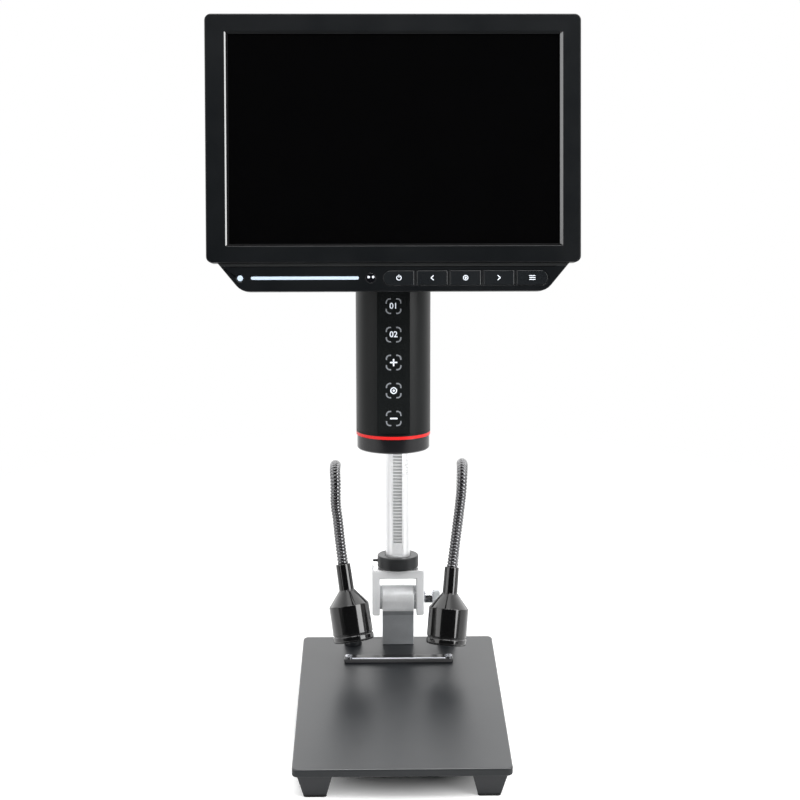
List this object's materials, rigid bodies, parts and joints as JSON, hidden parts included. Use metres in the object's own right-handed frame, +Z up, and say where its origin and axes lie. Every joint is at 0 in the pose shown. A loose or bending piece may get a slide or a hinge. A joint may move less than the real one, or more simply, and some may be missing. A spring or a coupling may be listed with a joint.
{
  "type": "lcd digital microscope",
  "caption": "Digital microscope: a lens barrel and tilting screen on a leaning rack column over a flat stage plate, with gooseneck lamps beside the column.",
  "frame": {"origin": "on the ground under the middle of the stage plate", "axes": "+Z up; the user sits on the -Y side, looking along +Y; +X to the user's right"},
  "size_m": [0.2484, 0.2603, 0.514],
  "materials": {
    "stage_paint": "satin",
    "foot_plastic": "matte",
    "pad_rubber": "matte",
    "bright_screws": "satin",
    "post_paint": "satin",
    "stop_plastic": "gloss",
    "black_metal": "satin",
    "black_plastic": "satin",
    "fork_metal": "satin",
    "washer_plastic": "matte",
    "column_steel": "polished",
    "dark_steel": "satin",
    "lever_chrome": "polished",
    "bush_bronze": "satin",
    "barrel_paint": "satin",
    "touch_plastic": "satin",
    "ring_red": "satin",
    "nose_gloss": "gloss",
    "optic_glass": "polished",
    "board_green": "satin",
    "display_plastic": "satin",
    "screen_glass": "gloss",
    "light_plastic": "gloss",
    "port_metal": "satin",
    "neck_gloss": "gloss",
    "lamp_gloss": "gloss",
    "led_white": "satin"
  },
  "bodies": {
    "base": {"base_plate": "stage_paint", "base_feet": "foot_plastic", "foot_pads": "pad_rubber", "base_screws": "bright_screws", "tilt_post": "post_paint", "stop_bar": "stop_plastic", "lamp_sockets": "black_metal", "lamp_junction_box": "black_plastic"},
    "column": {"column_fork": "fork_metal", "fork_washers": "washer_plastic", "pivot_bolt": "bright_screws", "column_rod": "column_steel", "column_rack": "column_steel", "column_screw": "bright_screws", "column_cap": "black_plastic"},
    "collar": {"stop_collar": "dark_steel", "collar_screw": "dark_steel"},
    "clamp": {"clamp_lever": "lever_chrome"},
    "carriage": {"carriage_body": "barrel_paint", "carriage_bushes": "bush_bronze", "head_arm": "barrel_paint", "carriage_screws": "bright_screws"},
    "focus": {"pinion_shaft": "column_steel", "focus_knobs": "black_plastic"},
    "barrel": {"barrel_shell": "barrel_paint", "touch_panel": "touch_plastic", "red_ring": "ring_red", "nose_ring": "nose_gloss", "objective_lens": "optic_glass", "camera_module": "board_green", "barrel_neck": "barrel_paint", "tilt_yoke": "barrel_paint", "hinge_pin": "bright_screws"},
    "display": {"display_bezel": "display_plastic", "lcd_panel": "screen_glass", "rear_cover": "display_plastic", "chin_cover": "display_plastic", "light_guides": "light_plastic", "ir_window": "screen_glass", "display_boards": "board_green", "tilt_bracket": "black_metal", "display_ports": "port_metal", "cover_screws": "dark_steel"},
    "power_button": {"button_power": "display_plastic"},
    "left_button": {"button_left": "display_plastic"},
    "select_button": {"button_select": "display_plastic"},
    "right_button": {"button_right": "display_plastic"},
    "menu_button": {"button_menu": "display_plastic"},
    "left_riser": {"left_riser": "neck_gloss"},
    "left_drop": {"left_drop": "neck_gloss"},
    "left_lamp": {"left_lamp_body": "lamp_gloss", "left_lens_ring": "lamp_gloss", "left_lamp_lens": "optic_glass", "left_led": "led_white"},
    "right_riser": {"right_riser": "neck_gloss"},
    "right_drop": {"right_drop": "neck_gloss"},
    "right_lamp": {"right_lamp_body": "lamp_gloss", "right_lens_ring": "lamp_gloss", "right_lamp_lens": "optic_glass", "right_led": "led_white"}
  },
  "joints": [
    {"name": "column_tilt", "type": "hinge", "parent": "base", "child": "column", "pos_m": [0, 0.0935, 0.063], "axis": [1, 0, 0], "range_deg": [-12, 8]},
    {"name": "clamp_turn", "type": "hinge", "parent": "column", "child": "clamp", "pos_m": [0, 0.0935, 0.063], "axis": [1, 0, 0], "range_deg": [-30, 60]},
    {"name": "collar_slide", "type": "slide", "parent": "column", "child": "collar", "axis": [0, 0.1392, 0.9903], "range_m": [0, 0.08]},
    {"name": "carriage_slide", "type": "slide", "parent": "column", "child": "carriage", "axis": [0, 0.1392, 0.9903], "range_m": [-0.115, 0.035]},
    {"name": "focus_turn", "type": "hinge", "parent": "carriage", "child": "focus", "pos_m": [-0.00069, 0.11639, 0.33496], "axis": [0.999, -0.0449, 0.0063], "range_deg": [-290, 925]},
    {"name": "barrel_turn", "type": "hinge", "parent": "carriage", "child": "barrel", "pos_m": [-0.00476, 0.01746, 0.27565], "axis": [0, 0.1392, 0.9903], "range_deg": [-30, 30]},
    {"name": "display_tilt", "type": "hinge", "parent": "barrel", "child": "display", "pos_m": [-0.00476, 0.03131, 0.37418], "axis": [1, 0, 0], "range_deg": [-20, 7]},
    {"name": "power_press", "type": "slide", "parent": "display", "child": "power_button", "axis": [0, 0.9629, -0.2698], "range_m": [0, 0.0008], "stiffness_N_per_m": 2500, "springref_m": -0.0004},
    {"name": "left_press", "type": "slide", "parent": "display", "child": "left_button", "axis": [0, 0.9629, -0.2698], "range_m": [0, 0.0008], "stiffness_N_per_m": 2500, "springref_m": -0.0004},
    {"name": "select_press", "type": "slide", "parent": "display", "child": "select_button", "axis": [0, 0.9629, -0.2698], "range_m": [0, 0.0008], "stiffness_N_per_m": 2500, "springref_m": -0.0004},
    {"name": "right_press", "type": "slide", "parent": "display", "child": "right_button", "axis": [0, 0.9629, -0.2698], "range_m": [0, 0.0008], "stiffness_N_per_m": 2500, "springref_m": -0.0004},
    {"name": "menu_press", "type": "slide", "parent": "display", "child": "menu_button", "axis": [0, 0.9629, -0.2698], "range_m": [0, 0.0008], "stiffness_N_per_m": 2500, "springref_m": -0.0004},
    {"name": "left_swing", "type": "hinge", "parent": "base", "child": "left_riser", "pos_m": [-0.0355, 0.0895, 0.0335], "axis": [0, 0, 1], "range_deg": [-15, 15]},
    {"name": "left_bend", "type": "hinge", "parent": "left_riser", "child": "left_drop", "pos_m": [-0.048, 0.089, 0.179], "axis": [1, 0, 0], "range_deg": [-20, 5]},
    {"name": "left_aim", "type": "hinge", "parent": "left_drop", "child": "left_lamp", "pos_m": [-0.0423, 0.0583, 0.107], "axis": [1, 0, 0], "range_deg": [-15, 10]},
    {"name": "right_swing", "type": "hinge", "parent": "base", "child": "right_riser", "pos_m": [0.0385, 0.0895, 0.0335], "axis": [0, 0, -1], "range_deg": [-15, 15]},
    {"name": "right_bend", "type": "hinge", "parent": "right_riser", "child": "right_drop", "pos_m": [0.049, 0.089, 0.179], "axis": [1, 0, 0], "range_deg": [-20, 5]},
    {"name": "right_aim", "type": "hinge", "parent": "right_drop", "child": "right_lamp", "pos_m": [0.0403, 0.0583, 0.104], "axis": [1, 0, 0], "range_deg": [-15, 10]}
  ],
  "couplings": [
    {"joint": "focus_turn", "follows": "carriage_slide", "rad_per_m": -138.89}
  ]
}
